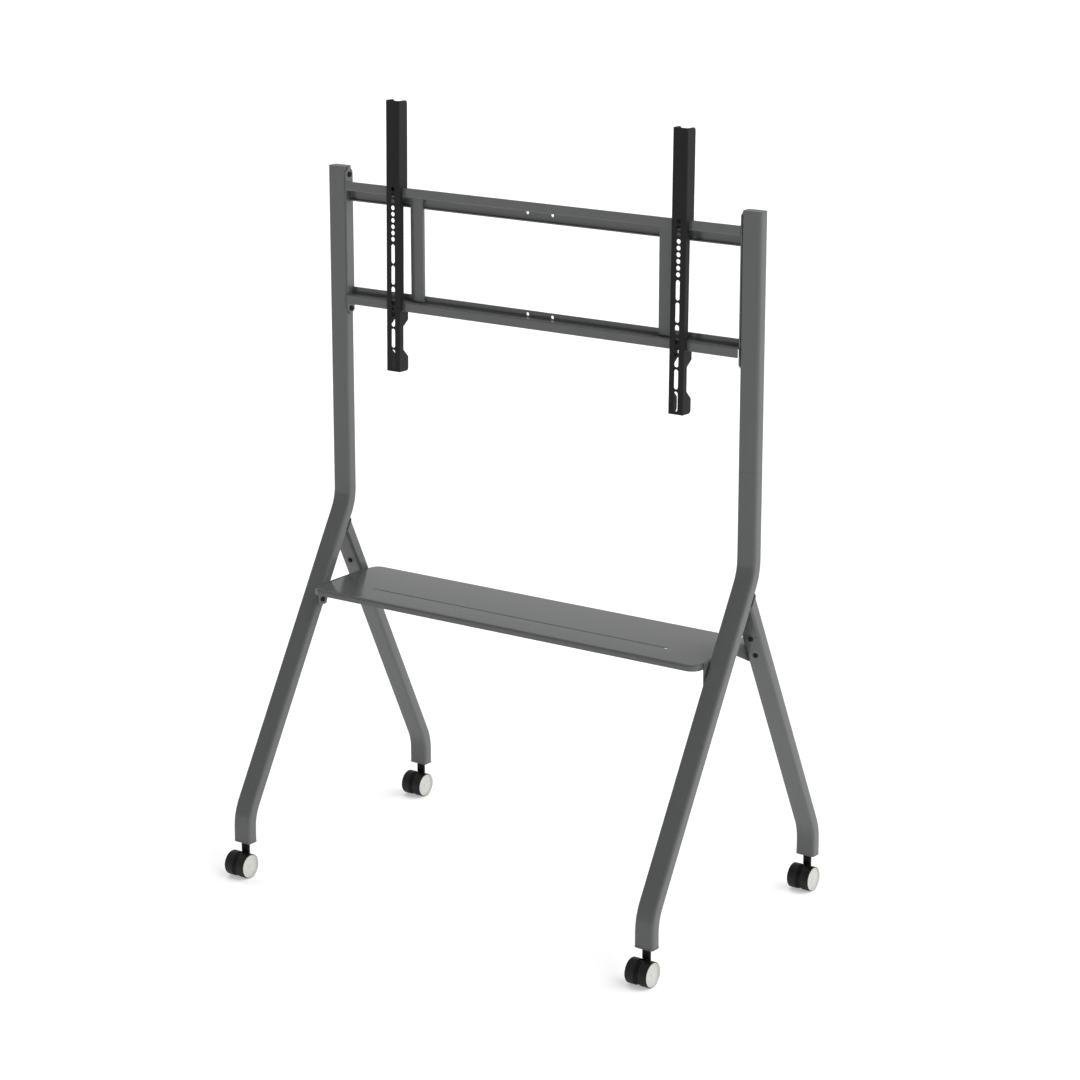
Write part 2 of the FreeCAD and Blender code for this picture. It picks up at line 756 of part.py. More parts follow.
def upper_rail():
    """Upper rail: a front lip, a ledge back, an inner band and a return along its foot."""
    body = add_body("upper_rail", y=POST_Y, z="upper_rail_top")
    front, inside = "-tube_depth / 2", "(-tube_depth / 2 + rail_step)"
    foot = "(-rail_lip - upper_band)"
    outline = add_sketch(body, "outline", "YZ_Plane")
    polygon(outline, [
        (front, "0"),
        (front, "-rail_lip"),
        (inside, "-rail_lip"),
        (inside, f"{foot} + rail_sheet"),
        (f"{inside} - return_depth", f"{foot} + rail_sheet"),
        (f"{inside} - return_depth", foot),
        (f"{inside} + rail_sheet", foot),
        (f"{inside} + rail_sheet", "-rail_lip + rail_sheet"),
        (f"{front} + rail_sheet", "-rail_lip + rail_sheet"),
        (f"{front} + rail_sheet", "0"),
    ])
    base = pad(body, outline, rail_length(), both=True)
    outer = [(front, "-rail_lip"), (f"{inside} + rail_sheet", "-rail_lip + rail_sheet"),
             (f"{inside} + rail_sheet", foot)]
    inner = [(inside, "-rail_lip"), (f"{front} + rail_sheet", "-rail_lip + rail_sheet"),
             (inside, f"{foot} + rail_sheet")]
    fold_edges(body, base, outer, inner)
    notch = add_sketch(body, "notch", "XY_Plane", f"{foot} - overrun")
    for side in (-1, 1):
        middle, half = f"{side} * upright_spacing / 2", "(upright_width / 2 + upright_gap)"
        rectangle(notch, f"{middle} - {half}", f"{inside} - return_depth - overrun",
                  f"{middle} + {half}", inside)
    pocket(body, notch, "rail_sheet + 2 * overrun", back=True)
    rail_holes(body, "-rail_hole_inset")


def lower_rail():
    """Lower rail: the same fold upside down, further forward, with a short band and no return."""
    body = add_body("lower_rail", y=POST_Y, z="lower_rail_bottom")
    front, inside = "(-tube_depth / 2 - lower_lead)", "(-tube_depth / 2 + rail_step)"
    outline = add_sketch(body, "outline", "YZ_Plane")
    polygon(outline, [
        (front, "0"),
        (f"{front} + rail_sheet", "0"),
        (f"{front} + rail_sheet", "rail_lip - rail_sheet"),
        (f"{inside} + rail_sheet", "rail_lip - rail_sheet"),
        (f"{inside} + rail_sheet", "rail_lip + lower_band"),
        (inside, "rail_lip + lower_band"),
        (inside, "rail_lip"),
        (front, "rail_lip"),
    ])
    base = pad(body, outline, rail_length(), both=True)
    outer = [(front, "rail_lip"), (f"{inside} + rail_sheet", "rail_lip - rail_sheet")]
    inner = [(inside, "rail_lip"), (f"{front} + rail_sheet", "rail_lip - rail_sheet")]
    fold_edges(body, base, outer, inner)
    rail_holes(body, "rail_hole_inset")


def upright(side, label):
    """Upright: a shallow channel, open to the back, from the lower ledge to the upper one."""
    body = add_body(
        label,
        x=f"{side} * upright_spacing / 2",
        y=f"{POST_Y} - tube_depth / 2 + rail_step - upright_depth",
        z="lower_rail_bottom + rail_lip + rail_fold",
    )
    outline = add_sketch(body, "outline", "XY_Plane")
    half, inner = "upright_width / 2", "(upright_width / 2 - upright_sheet)"
    polygon(outline, [
        (f"-{half}", "0"),
        (half, "0"),
        (half, "upright_depth"),
        (inner, "upright_depth"),
        (inner, "upright_sheet"),
        (f"-{inner}", "upright_sheet"),
        (f"-{inner}", "upright_depth"),
        (f"-{half}", "upright_depth"),
    ])
    base = pad(body, outline, "upper_rail_top - lower_rail_bottom - 2 * rail_lip - 2 * rail_fold")

    def front_edge(middle, edge):
        return near(middle.y, "0") and near(abs(middle.x), "upright_width / 2")

    soften(body, base, front_edge, "upright_sheet")


def on_arm(side, reach="0", height="0"):
    """Place of a point of an arm's own frame, which leans back about the upper rail's top."""
    along = f"({height} - upper_rail_top)"
    return {
        "x": f"{side} * arm_spacing / 2",
        "y": f"{RAIL_FRONT} + {reach} * cos({ARM_LEAN}) + {along} * sin({ARM_LEAN})",
        "z": f"upper_rail_top - {reach} * sin({ARM_LEAN}) + {along} * cos({ARM_LEAN})",
        "turn": ARM_LEAN,
        "axis": Vector(-1, 0, 0),
    }


def arm(side, label):
    """Mounting arm: a channel that hangs on the upper rail's lip and leans on the lower one."""
    body = add_body(label, **on_arm(side))
    web, deep, bulge = "-arm_stand_off", "(arm_deep - arm_stand_off)", "(arm_bulge - arm_stand_off)"
    narrow, between = "(arm_narrow - arm_stand_off)", "(arm_between - arm_stand_off)"
    under = "(lower_rail_bottom - arm_lift_gap)"
    low = f"({under} - arm_bulge_height)"
    tail = f"({ARM_BOTTOM} + arm_tail)"
    rest = "(upper_rail_top + arm_rest_gap)"
    over = "(lower_rail_bottom + rail_lip + arm_lift_gap)"
    clear = "(upper_rail_top - rail_lip - arm_tooth - arm_lift_gap)"
    outline = add_sketch(body, "outline", "YZ_Plane")
    polygon(outline, [
        (web, ARM_BOTTOM),
        (bulge, ARM_BOTTOM),
        (bulge, tail),
        (narrow, f"{tail} + arm_tail_taper"),
        (narrow, f"{low} - arm_taper"),
        (bulge, low),
        (bulge, under),
        ("-arm_gap", under),
        ("-arm_gap", over),
        (between, over),
        (between, clear),
        ("-arm_gap", clear),
        ("-arm_gap", rest),
        ("rail_sheet + arm_gap", rest),
        ("rail_sheet + arm_gap", "upper_rail_top - arm_tooth"),
        (deep, "upper_rail_top - arm_tooth"),
        (deep, "arm_top"),
        (web, "arm_top"),
    ])
    base = pad(body, outline, "arm_width", both=True)

    def corner(middle, edge):
        across = near(edge.Length, "arm_width")
        top = near(middle.y, deep) and near(middle.z, "arm_top")
        bottom = near(middle.y, bulge) and near(middle.z, ARM_BOTTOM)
        tooth = near(middle.y, deep) and near(middle.z, "upper_rail_top - arm_tooth")
        return across and (top or bottom or tooth)

    rounded = soften(body, base, corner, "arm_corner")

    def fold(middle, edge):
        return near(middle.y, web) and near(abs(middle.x), "arm_width / 2")

    soften(body, rounded, fold, "arm_sheet")
    inside = add_sketch(body, "inside", "XY_Plane", f"{ARM_BOTTOM} - overrun")
    half = "(arm_width / 2 - arm_sheet)"
    rectangle(inside, f"-{half}", f"{web} + arm_sheet", half, "arm_deep + overrun")
    pocket(body, inside, f"arm_top - {ARM_BOTTOM} + 2 * overrun", back=True)
    hole = add_sketch(body, "hole", "XZ_Plane")
    circle(hole, "arm_hole_radius", "0", "arm_hole_top")
    cut = pocket(body, hole, "2 * arm_deep", both=True)
    repeat(body, cut, hole, "V_Axis", "arm_hole_pitch * (arm_hole_count - 1)", "arm_hole_count")
    long_hole = add_sketch(body, "long_hole", "XZ_Plane")
    slot(long_hole, "arm_hole_radius", "0", f"{ARM_SLOT_TOP} - arm_hole_radius",
         "0", f"{ARM_SLOT_TOP} - arm_slot_length + arm_hole_radius")
    cut = pocket(body, long_hole, "2 * arm_deep", both=True)
    repeat(body, cut, long_hole, "V_Axis", ARM_SLOTS, "arm_slot_count")


def lock_place():
    """How far the lock screw's axis lies behind the lower lip's front, and its bar's top height."""
    return "(rail_sheet + lock_screw_gap + screw_radius)", "(lower_rail_bottom - lock_bar_drop)"


def lock_bar(side, label):
    """Bar across the arm's channel with the thread of the lock screw."""
    reach, top = lock_place()
    body = add_body(label, **on_arm(side, height=top))
    outline = add_sketch(body, "outline", "XY_Plane")
    half = "(arm_width / 2 - arm_sheet)"
    rectangle(outline, f"-{half}", "-arm_stand_off + arm_sheet", half, "arm_bulge - arm_stand_off")
    circle(outline, "screw_radius + thread_clearance", "0", reach)
    pad(body, outline, "lock_bar_sheet", back=True)


def lock_screw(side, label):
    """Screw that rises behind the lower rail's lip, so that the arm can't swing off it."""
    reach, top = lock_place()
    body = add_body(label, **on_arm(side, reach, f"({top} - lock_bar_sheet)"))
    head = add_sketch(body, "head", "XY_Plane")
    circle(head, "lock_head_radius")
    base = pad(body, head, "lock_head_height", back=True)
    soften(body, base, lambda middle, edge: near(middle.z, "-lock_head_height"), "head_edge")
    shank = add_sketch(body, "shank", "XY_Plane")
    circle(shank, "screw_radius")
    pad(body, shank, "lock_bar_sheet + lock_bar_drop + lock_screw_bite")


def shelf():
    """Shelf: a folded tray with round corners and a long slot that ends in round holes."""
    body = add_body(
        "shelf", y=f"{POST_Y} + (shelf_rear - shelf_front) / 2", z="shelf_top"
    )
    outline = add_sketch(body, "outline", "XY_Plane")
    width = f"2 * ({INNER_FACE} - bracket_thickness)"
    rounded_rectangle(outline, width, "shelf_front + shelf_rear", "shelf_corner")
    base = pad(body, outline, "shelf_lip", back=True)
    rounded = soften(body, base, lambda middle, edge: near(middle.z, "0"), "shelf_fold")
    underside = [
        f"Face{index}"
        for index, face in enumerate(rounded.Shape.Faces, start=1)
        if near(face.BoundBox.ZMax, "-shelf_lip")
    ]
    solid = rounded.Shape.Volume
    shell = body.newObject("PartDesign::Thickness", "tray")
    shell.Base = (rounded, underside)
    shell.Reversed = True
    shell.Value = number("shelf_sheet")
    bind(shell, Value="shelf_sheet")
    document.recompute()
    if not shell.Shape.Volume < solid / 2:
        raise RuntimeError("the shelf isn't hollow")
    opening = add_sketch(body, "cable_slot", "XY_Plane")
    middle = "((shelf_front - shelf_rear) / 2 - shelf_slot_reach)"
    end = "(shelf_slot_length - shelf_slot_width) / 2"
    slot(opening, "shelf_slot_width / 2", f"-{end}", middle, end, middle)
    pocket(body, opening, "shelf_lip", both=True)
    ends = add_sketch(body, "slot_ends", "XY_Plane")
    for side in (-1, 1):
        circle(ends, "shelf_slot_end", f"{side} * {end}", middle)
    pocket(body, ends, "shelf_lip", both=True)


def shelf_bracket(side, label):
    """Cheek plate between the shelf's end and both legs, with an ear down each leg."""
    inner = f"({INNER_FACE} - bracket_thickness)"
    body = add_body(label, x=inner if side > 0 else f"-{INNER_FACE}")
    front, rear, web = FRONT_BOLT_Y, REAR_BOLT_Y, "shelf_top - bracket_web"
    outline = add_sketch(body, "outline", "YZ_Plane")
    polygon(outline, [
        (f"{front} - bracket_ear", "shelf_top"),
        (f"{front} - bracket_ear", "front_bolt_height - front_ear_drop"),
        (f"{front} + bracket_ear", "front_bolt_height - front_ear_drop"),
        (f"{front} + bracket_ear + bracket_slope", web),
        (f"{rear} - bracket_rear_slope", web),
        (f"{rear} + bracket_ear", "rear_bolt_height - rear_ear_drop"),
        (f"{rear} + bracket_ear", "rear_bolt_height + bracket_ear"),
        (f"{rear} - bracket_ear", "shelf_top"),
    ])
    circle(outline, "screw_radius + screw_clearance", front, "front_bolt_height")
    circle(outline, "screw_radius + screw_clearance", rear, "rear_bolt_height")
    pad(body, outline, "bracket_thickness")


def caster_stems():
    """Caster stems: a pin with a collar, up in the foot plug and down in the caster's neck."""
    body = document.addObject("PartDesign::Body", "stem_pattern")
    outline = add_sketch(body, "outline", "XZ_Plane")
    polygon(outline, [
        ("0", "socket_floor + stem_end_gap"),
        ("stem_radius", "socket_floor + stem_end_gap"),
        ("stem_radius", f"{PLUG_BOTTOM} - stem_collar"),
        ("stem_collar_radius", f"{PLUG_BOTTOM} - stem_collar"),
        ("stem_collar_radius", PLUG_BOTTOM),
        ("stem_radius", PLUG_BOTTOM),
        ("stem_radius", f"{PLUG_BOTTOM} + stem_rise"),
        ("0", f"{PLUG_BOTTOM} + stem_rise"),
    ])
    revolve(body, outline, "V_Axis")
    add_copies("caster_stems", body.Shape.copy(), [spot(x, y, "0") for x, y in feet().values()])


def caster_hood(label, x, y):
    """Black caster body: a web between the wheels that rises into the neck for the stem."""
    body = add_body(label, x=x, y=y)
    axle_place = ("-caster_trail", "wheel_radius")
    inside = "(wheel_radius + hood_gap)"
    neck = add_sketch(body, "neck", "XY_Plane", "wheel_radius")
    circle(neck, "neck_radius")
    base = pad(body, neck, f"{NECK_TOP} - wheel_radius")
    soften(body, base, lambda middle, edge: near(middle.z, NECK_TOP), "neck_edge")
    room = add_sketch(body, "wheel_room", "YZ_Plane")
    circle(room, inside, *axle_place)
    pocket(body, room, "2 * neck_radius + 2 * overrun", both=True)
    between = "wheel_gap - 2 * wheel_side_gap"
    web = add_sketch(body, "web", "YZ_Plane")
    circle(web, "hood_web_radius", *axle_place)
    pad(body, web, between, both=True)
    rib = add_sketch(body, "rib", "YZ_Plane")
    half = "(neck_radius - neck_edge)"
    rectangle(rib, f"-{half}", "wheel_radius", half, f"{NECK_TOP} - 2 * neck_edge")
    pad(body, rib, between, both=True)
    hole = add_sketch(body, "axle_hole", "YZ_Plane")
    circle(hole, "axle_radius + axle_clearance", *axle_place)
    pocket(body, hole, "wheel_gap + overrun", both=True)
    socket = add_sketch(body, "stem_socket", "XY_Plane", NECK_TOP)
    circle(socket, "stem_radius + stem_clearance")
    pocket(body, socket, f"{NECK_TOP} - socket_floor")


def wheel(label, x, y, side):
    """Wheel: a rounded tyre with a recess for the hub cover in its outer face."""
    body = add_body(label, x=f"{x} + {side} * wheel_gap / 2", y=y, z="wheel_radius")
    outline = add_sketch(body, "outline", "XY_Plane")
    face = f"{side} * wheel_width"
    seat = f"{side} * (wheel_width - cover_depth)"
    polygon(outline, [
        ("0", "axle_radius + axle_clearance"),
        ("0", "wheel_radius"),
        (face, "wheel_radius"),
        (face, "cover_radius + cover_fit"),
        (seat, "cover_radius + cover_fit"),
        (seat, "axle_radius + axle_clearance"),
    ])
    base = revolve(body, outline, "H_Axis")

    def tread_edge(middle, edge):
        distance = math.hypot(middle.y, middle.z)
        return near(distance, "wheel_radius") and near(edge.BoundBox.XLength, "0")

    inner = soften(body, base, lambda m, e: tread_edge(m, e) and near(m.x, "0"), "wheel_shoulder")
    soften(body, inner, lambda m, e: tread_edge(m, e) and near(m.x, face), "wheel_edge")


def hub_cover(label, x, y, side):
    """Pale hub cover: a dish with a raised rim and a low boss in its middle."""
    seat = "(wheel_gap / 2 + wheel_width - cover_depth)"
    body = add_body(label, x=f"{x} + {side} * {seat}", y=y, z="wheel_radius")
    outline = add_sketch(body, "outline", "XY_Plane")
    face = "(cover_depth + cover_proud)"
    polygon(outline, [
        ("0", "0"),
        ("0", "cover_radius"),
        (f"{side} * {face}", "cover_radius"),
        (f"{side} * {face}", "cover_radius - cover_rim"),
        (f"{side} * ({face} - cover_dish)", "cover_radius - cover_rim - cover_slope"),
        (f"{side} * ({face} - cover_dish)", "cover_boss"),
        (f"{side} * ({face} - cover_dish + cover_boss_height)", "cover_boss - cover_boss_height"),
        (f"{side} * ({face} - cover_dish + cover_boss_height)", "0"),
    ])
    base = revolve(body, outline, "H_Axis")

    def rim(middle, edge):
        distance = math.hypot(middle.y, middle.z)
        return near(distance, "cover_radius") and near(middle.x, f"{side} * {face}")

    soften(body, base, rim, "cover_edge")


def axle(label, x, y):
    """Axle pin through the hood's web and both wheels."""
    half = "(wheel_gap / 2 + wheel_width - cover_depth - axle_end_gap)"
    pin = document.addObject("Part::Cylinder", label)
    pin.Label = label
    bind(pin, Radius="axle_radius", Height=f"2 * {half}")
    place(pin, x=f"{x} - {half}", y=y, z="wheel_radius", turn="90", axis=Vector(0, 1, 0))
    pin.setExpression("Placement.Rotation.Angle", None)
    parts.append(pin)


def caster(name, x, y):
    """One twin-wheel caster, trailing towards the front."""
    wheel_y = f"{y} - caster_trail"
    caster_hood(f"{name}_hood", x, y)
    axle(f"{name}_axle", x, wheel_y)
    for side, which in ((-1, "left"), (1, "right")):
        wheel(f"{name}_wheel_{which}", x, wheel_y, side)
        hub_cover(f"{name}_hub_cover_{which}", x, wheel_y, side)


def check_parts():
    """Stop if any object failed or any sub-part has no sound solid."""
    for item in document.Objects:
        if "Invalid" in item.State or "Error" in item.State:
            raise RuntimeError(f"{item.Name} failed: {item.State}")
    for item in parts:
        if item.Shape.isNull() or not item.Shape.isValid() or not item.Shape.Solids:
            raise RuntimeError(f"{item.Label} has no sound solid")


for side, which in ((-1, "left"), (1, "right")):
    post(side, f"{which}_upper_post")
    front_leg(side, f"{which}_front_leg")
    leg_stub(side, f"{which}_leg_stub")
    rear_leg(side, f"{which}_rear_leg")
    end_plate(side, f"{which}_end_plate")
    upright(side, f"{which}_upright")
    arm(side, f"{which}_arm")
    lock_bar(side, f"{which}_lock_bar")
    lock_screw(side, f"{which}_lock_screw")
    shelf_bracket(side, f"{which}_shelf_bracket")
frame_small_parts()
side_bolts()
upper_rail()
lower_rail()
shelf()
caster_stems()
for name, (x, y) in feet().items():
    caster(name, x, y)

document.recompute()
check_parts()
os.makedirs("parts", exist_ok=True)
for item in parts:
    item.Shape.exportStep(f"parts/{item.Label}.step")
    box = item.Shape.BoundBox
    print(
        f"{item.Label:26s} solids {len(item.Shape.Solids)} volume {item.Shape.Volume / 1000:9.1f} cm3"
        f"  x {box.XMin:8.1f} {box.XMax:8.1f}  y {box.YMin:8.1f} {box.YMax:8.1f}"
        f"  z {box.ZMin:8.1f} {box.ZMax:8.1f}"
    )
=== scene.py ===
import json
import math

import bmesh
import bpy
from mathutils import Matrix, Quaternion, Vector
from mathutils.bvhtree import BVHTree


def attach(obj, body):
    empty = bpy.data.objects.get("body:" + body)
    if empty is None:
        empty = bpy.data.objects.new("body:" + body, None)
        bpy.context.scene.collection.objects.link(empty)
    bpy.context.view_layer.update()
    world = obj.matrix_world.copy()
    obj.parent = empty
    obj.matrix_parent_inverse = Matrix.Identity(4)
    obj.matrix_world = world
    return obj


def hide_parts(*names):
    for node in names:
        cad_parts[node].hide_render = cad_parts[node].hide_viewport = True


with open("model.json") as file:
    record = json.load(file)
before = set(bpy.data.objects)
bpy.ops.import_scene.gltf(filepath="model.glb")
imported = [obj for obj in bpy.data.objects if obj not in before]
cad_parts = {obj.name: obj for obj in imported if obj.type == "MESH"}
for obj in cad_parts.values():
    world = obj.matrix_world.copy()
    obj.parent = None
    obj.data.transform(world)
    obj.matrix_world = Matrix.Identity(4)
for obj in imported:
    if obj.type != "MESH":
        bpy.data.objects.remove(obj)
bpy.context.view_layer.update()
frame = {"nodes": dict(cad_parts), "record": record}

bl_info = {
    "name": "Mobile TV Stand",
    "version": (1, 0, 0),
    "blender": (4, 5, 0),
    "location": "View3D > Sidebar > TV Stand",
    "description": "Dresses a packed mobile TV stand and sets up its studio",
    "category": "Object",
}

NODES = frame["nodes"]
BODY_OF = {node: body for body, members in frame["record"]["behaviour"]["bodies"].items()
           for node in members}
SLOT_OF = {item["node"]: item["material_slot"] for item in frame["record"]["subparts"]}
MM = 0.001
SIDES = ("left", "right")
RAILS = ("upper_rail", "lower_rail")
CASTERS = ("front_left", "front_right", "rear_left", "rear_right")

# How a CAD mesh is made whole and its edges are rounded.
SAME_POINT = 0.002 * MM             # points that lie closer than this are one
FLAT_ANGLE = math.radians(0.05)     # faces that turn less than this are one flat face
EDGE_ANGLE = math.radians(32)       # an edge that turns more than this is rounded
EDGE_STEPS = 2                      # faces across a rounded edge

# Where welds run, and how their beads look.
SEAM_ANGLE = math.radians(20)       # a weld follows edges that turn more than this
SEAM_STEP = 1 * MM                  # how closely a seam is tested
SEAM_REACH = 0.1 * MM               # how close to the other piece a seam lies
STUB_REACH = 3.2 * MM               # the same for a leg stub, which meets rounded tube corners
RUN_TOUCH = 0.05 * MM               # ends of seams that lie closer than this are joined
RINGS_PER_RIPPLE = 4
FEWEST_RINGS = 4                    # a shorter bead isn't laid
BEAD_SPOKES = 8                     # points round a bead
BEAD_SIZE, BEAD_SWELL = 0.94, 0.1   # mean radius and ripple, as shares of the bead's radius

# Widths and heights of the patterns in the finishes.
PAINT_CLOUD = 60 * MM               # broad, faint changes in the paint
PEEL_HEIGHT = 0.02 * MM
MOULD_CLOUD = 12 * MM               # where the plastic flowed in the mould
GRAIN_HEIGHT = 0.04 * MM
SCUFF_SIZE = 1.6 * MM
SCUFF_HEIGHT = 0.05 * MM
STAIN_SIZE = 2.5 * MM               # uneven patches of black oxide
DRAWN_SIZE = 0.7 * MM               # real drawing lines are finer; this is as fine as shows
NOISE_RANGE = (0.3, 0.7)            # where nearly all of a noise pattern's values lie

# The studio.
WHITE = (1, 1, 1, 1)
SENSOR_WIDTH = 36                   # millimetres, which the lens setting refers to
VIEW_DISTANCE = 200.0
KEY_SPREAD, KEY_TOWARDS = 100, (-0.85, -0.34, -0.4)
RIM_SPREAD, RIM_TOWARDS = 50, (0.6, -0.3, -0.74)
PAPER = "#E4E4E4"
PAPER_GLOW = (0.8, 0.2, 0.39)       # for spread light, for reflections and for the camera


def hex_colour(text):
    """Turn an sRGB hex value into a linear colour with alpha."""
    channels = [int(text[i:i + 2], 16) / 255 for i in (1, 3, 5)]
    linear = [c / 12.92 if c <= 0.04045 else ((c + 0.055) / 1.055) ** 2.4 for c in channels]
    return (*linear, 1.0)


def colour_setting(name, text, description):
    """A colour that the user can change."""
    return bpy.props.FloatVectorProperty(
        name=name, description=description, subtype="COLOR", size=4, min=0, max=1,
        default=hex_colour(text))


def length_setting(name, value, description):
    """A length in metres that the user can change."""
    return bpy.props.FloatProperty(
        name=name, description=description, default=value, min=0, precision=5,
        subtype="DISTANCE", unit="LENGTH")


class StandFinish(bpy.types.PropertyGroup):
    """Colours and surface sizes of the stand."""

    frame_colour: colour_setting("Frame paint", "#525553", "Powder coat of the frame and shelf")
    arm_colour: colour_setting("Arm paint", "#222222", "Powder coat of the mounting arms")
    plug_colour: colour_setting("Foot plugs", "#585A59", "Moulded plastic in the tube ends")
    screw_colour: colour_setting("Screws", "#1A1A1A", "Black oxide of the screws")
    caster_colour: colour_setting("Caster hoods", "#080808", "Moulded nylon of the caster hoods")
    tread_colour: colour_setting("Treads", "#080808", "Polyurethane of the wheels")
    cover_colour: colour_setting("Hub covers", "#ACABA6", "Moulded covers on the wheels")
    peel_size: length_setting("Orange peel", 2.4 * MM, "Width of the waves in the paint")
    # Spark-eroded grain is finer than this, which is the finest that shows.
    grain_size: length_setting("Moulding grain", 0.9 * MM, "Width of the grain in the plastics")


class StandEdges(bpy.types.PropertyGroup):
    """How far the edges of the pieces are rounded."""

    sheet_edge: length_setting("Sheet edge", 0.5 * MM, "Rounding of cut sheet under its paint")
    tube_edge: length_setting("Tube end", 0.9 * MM, "Rounding of sawn tube ends under paint")
    plastic_edge: length_setting("Plastic edge", 0.5 * MM, "Rounding of moulded edges")
    screw_edge: length_setting("Screw edge", 0.25 * MM, "Rounding of rolled steel edges")
    wheel_edge: length_setting("Wheel edge", 0.15 * MM, "Rounding of the ring round a hub cover")
    tube_weld: length_setting("Tube weld", 2.4 * MM, "Radius of the weld beads between tubes")
    sheet_weld: length_setting("Sheet weld", 1.6 * MM, "Radius of the weld beads on sheet")
    weld_ripple: length_setting("Weld ripple", 2.6 * MM, "Distance between the ripples of a weld")


class StandStudio(bpy.types.PropertyGroup):
    """Camera and lamps."""

    azimuth: bpy.props.FloatProperty(
        name="Azimuth", description="Camera's turn about the stand", subtype="ANGLE",
        default=math.radians(34.91))
    elevation: bpy.props.FloatProperty(
        name="Elevation", description="Camera's angle above level", subtype="ANGLE",
        default=math.radians(15.34))
    lens: bpy.props.FloatProperty(
        name="Lens", description="Focal length on a 36 mm sensor, in millimetres", default=105.43)
    eye: bpy.props.FloatVectorProperty(
        name="Eye", description="Where the camera stands", subtype="TRANSLATION",
        unit="LENGTH", size=3, default=(4.1295, -5.8367, 2.8176))
    key: bpy.props.FloatProperty(
        name="Key lamp", description="Strength of the soft lamp at the right", default=4.5, min=0)
    fill: bpy.props.FloatProperty(
        name="Fill", description="Strength of the even light all round", default=0.06, min=0)
    rim: bpy.props.FloatProperty(
        name="Rim lamp", description="Strength of the soft lamp behind at the left", default=1.4,
        min=0)
    mirrored: bpy.props.FloatProperty(
        name="Mirrored", description="Strength of the white room in reflections", default=0.6,
        min=0, max=1)
    floor_size: length_setting("Floor", 120.0, "Width of the pale floor")


def finish():
    """The finish settings in use."""
    return bpy.context.scene.stand_finish


def edges():
    """The edge settings in use."""
    return bpy.context.scene.stand_edges


def add_node(tree, kind, inputs=None, **settings):
    """Add a shader node, set what it is given, and link the sockets that it is given."""
    node = tree.nodes.new(kind)
    for key, value in settings.items():
        setattr(node, key, value)
    for socket, value in (inputs or {}).items():
        if isinstance(value, bpy.types.NodeSocket):
            tree.links.new(value, node.inputs[socket])
        else:
            node.inputs[socket].default_value = value
    return node


def start_material(name, **uniform):
    """Start a material with a shader whose uniform values are set on its own sockets."""
    material = bpy.data.materials.new(name)
    material.use_nodes = True
    tree = material.node_tree
    tree.nodes.clear()
    shader = add_node(tree, "ShaderNodeBsdfPrincipled", uniform)
    output = add_node(tree, "ShaderNodeOutputMaterial")
    tree.links.new(shader.outputs["BSDF"], output.inputs["Surface"])
    place = add_node(tree, "ShaderNodeTexCoord").outputs["Object"]
    return material, tree, shader, place


def tinted(tree, colour, pattern, change):
    """Vary a colour a little, lighter and darker, along a pattern."""
    low = [c * (1 - change) for c in colour[:3]] + [1]
    high = [min(1, c * (1 + change)) for c in colour[:3]] + [1]
    blend = add_node(tree, "ShaderNodeMix", {"Factor": pattern}, data_type="RGBA")
    blend.inputs["A"].default_value = low
    blend.inputs["B"].default_value = high
    return blend.outputs["Result"]


def spread(tree, pattern, low, high):
    """Stretch a pattern to a range of values."""
    return add_node(tree, "ShaderNodeMapRange", {
        "Value": pattern, "From Min": NOISE_RANGE[0], "From Max": NOISE_RANGE[1],
        "To Min": low, "To Max": high,
    }).outputs["Result"]


def noise(tree, place, size, detail=2.0):
    """A soft random pattern whose spots have the given width in metres."""
    return add_node(tree, "ShaderNodeTexNoise", {
        "Vector": place, "Scale": 1 / size, "Detail": detail, "Roughness": 0.5,
    }).outputs["Fac"]


def link_surface(tree, shader, colour, roughness, bump=None):
    """Link a surface's colour, its roughness and, if it has one, its relief."""
    tree.links.new(colour, shader.inputs["Base Color"])
    tree.links.new(roughness, shader.inputs["Roughness"])
    if bump:
        height, strength, distance = bump
        relief = add_node(tree, "ShaderNodeBump", {
            "Height": height, "Strength": strength, "Distance": distance})
        tree.links.new(relief.outputs["Normal"], shader.inputs["Normal"])


def powder_coat(name, colour, roughness, depth, specular):
    """Powder coat, baked: a closed, slightly wavy skin with a soft gloss over steel."""
    material, tree, shader, place = start_material(
        name, **{"Metallic": 0.0, "IOR": 1.5, "Specular IOR Level": specular})
    broad = noise(tree, place, PAINT_CLOUD)
    peel = noise(tree, place, finish().peel_size, 3.0)
    link_surface(
        tree, shader, tinted(tree, colour, broad, 0.04),
        spread(tree, broad, roughness - 0.03, roughness + 0.03), (peel, depth, PEEL_HEIGHT))
    return material


def moulded_plastic(name, colour, roughness, depth, specular=0.5):
    """Injection moulded plastic with a fine spark-eroded grain that breaks up its gloss."""
    material, tree, shader, place = start_material(
        name, **{"Metallic": 0.0, "IOR": 1.49, "Specular IOR Level": specular})
    grain = noise(tree, place, finish().grain_size, 3.0)
    broad = noise(tree, place, MOULD_CLOUD)
    link_surface(
        tree, shader, tinted(tree, colour, broad, 0.08),
        spread(tree, grain, roughness - 0.06, roughness + 0.06), (grain, depth, GRAIN_HEIGHT))
    return material


def polyurethane(name, colour):
    """Cast polyurethane tread: dull, with fine scuffs from rolling."""
    material, tree, shader, place = start_material(
        name, **{"Metallic": 0.0, "IOR": 1.5, "Specular IOR Level": 0.3})
    scuff = noise(tree, place, SCUFF_SIZE, 4.0)
    link_surface(
        tree, shader, tinted(tree, colour, scuff, 0.25), spread(tree, scuff, 0.34, 0.5),
        (scuff, 0.3, SCUFF_HEIGHT))
    return material


